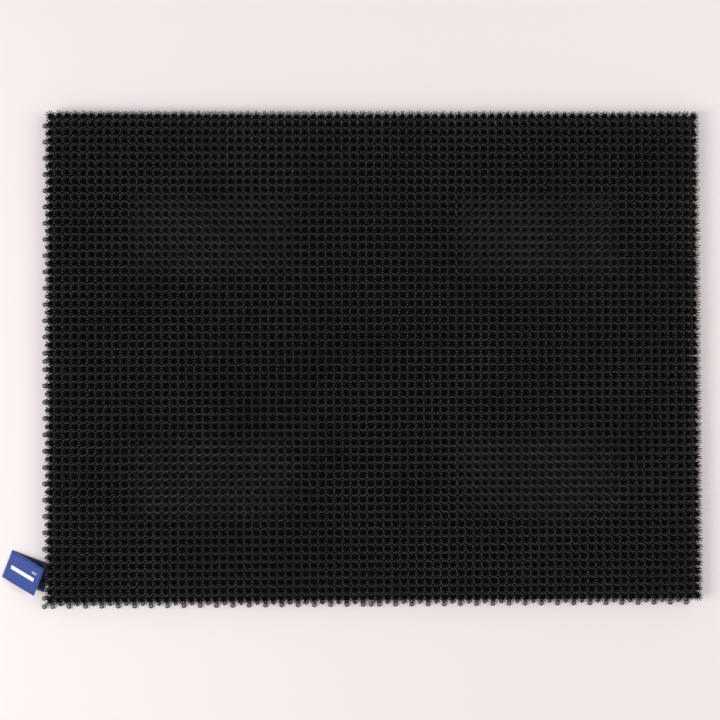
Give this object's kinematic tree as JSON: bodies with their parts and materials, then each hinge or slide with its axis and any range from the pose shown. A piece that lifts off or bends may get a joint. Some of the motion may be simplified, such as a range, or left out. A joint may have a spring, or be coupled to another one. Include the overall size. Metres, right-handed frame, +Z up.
{
  "type": "bristle door mat",
  "caption": "Rectangular moulded bristle door mat made of clip-together tiles, with looped edges that take further tiles and a small folded card tag pinned to one side.",
  "frame": {"origin": "centre of the footprint on the floor, tag included", "axes": "+X right along the long edge, +Y towards the back edge, +Z up"},
  "size_m": [0.6439, 0.457, 0.013],
  "materials": {
    "net_plastic": "semi-gloss black moulded polyethylene",
    "bristle_plastic": "semi-gloss black moulded polyethylene",
    "centre_bristle_plastic": "semi-gloss black moulded polyethylene, blunter tips",
    "printed_card": "blue printed card",
    "nylon_pin": "black nylon"
  },
  "bodies": {
    "back_right": {"back_right_lengthwise_ribs": "net_plastic", "back_right_crosswise_ribs": "net_plastic", "back_right_side_loops": "net_plastic", "back_right_front_loops": "net_plastic", "back_right_pegs": "net_plastic", "back_right_feet": "net_plastic", "back_right_bristles": "bristle_plastic", "back_right_centre_bristles": "centre_bristle_plastic"},
    "back_left": {"back_left_lengthwise_ribs": "net_plastic", "back_left_crosswise_ribs": "net_plastic", "back_left_side_loops": "net_plastic", "back_left_front_loops": "net_plastic", "back_left_pegs": "net_plastic", "back_left_feet": "net_plastic", "back_left_bristles": "bristle_plastic", "back_left_centre_bristles": "centre_bristle_plastic"},
    "front_right": {"front_right_lengthwise_ribs": "net_plastic", "front_right_crosswise_ribs": "net_plastic", "front_right_side_loops": "net_plastic", "front_right_front_loops": "net_plastic", "front_right_pegs": "net_plastic", "front_right_feet": "net_plastic", "front_right_bristles": "bristle_plastic", "front_right_centre_bristles": "centre_bristle_plastic"},
    "front_left": {"front_left_lengthwise_ribs": "net_plastic", "front_left_crosswise_ribs": "net_plastic", "front_left_side_loops": "net_plastic", "front_left_front_loops": "net_plastic", "front_left_pegs": "net_plastic", "front_left_feet": "net_plastic", "front_left_bristles": "bristle_plastic", "front_left_centre_bristles": "centre_bristle_plastic"},
    "tag": {"tag_back_leaf": "printed_card", "tag_pin": "nylon_pin"},
    "tag_front": {"tag_front_leaf": "printed_card"}
  },
  "joints": [
    {"name": "left_column_unclip", "type": "slide", "parent": "back_right", "child": "back_left", "axis": [0, 0, 1], "range_m": [0, 0.03]},
    {"name": "front_row_unclip", "type": "slide", "parent": "back_right", "child": "front_right", "axis": [0, 0, 1], "range_m": [0, 0.03]},
    {"name": "corner_unclip", "type": "slide", "parent": "front_right", "child": "front_left", "axis": [0, 0, 1], "range_m": [0, 0.03]},
    {"name": "tag_swing", "type": "hinge", "parent": "front_left", "child": "tag", "pos_m": [-0.28313, -0.189, 0.0015], "axis": [0, 0, 1], "range_deg": [-12, 12]},
    {"name": "tag_open", "type": "hinge", "parent": "tag", "child": "tag_front", "pos_m": [-0.31722, -0.18684, 0.00075], "axis": [-0.3584, -0.9336, 0], "range_deg": [-8, 150]}
  ],
  "couplings": [
    {"joint": "corner_unclip", "follows": "left_column_unclip", "ratio": 1}
  ]
}
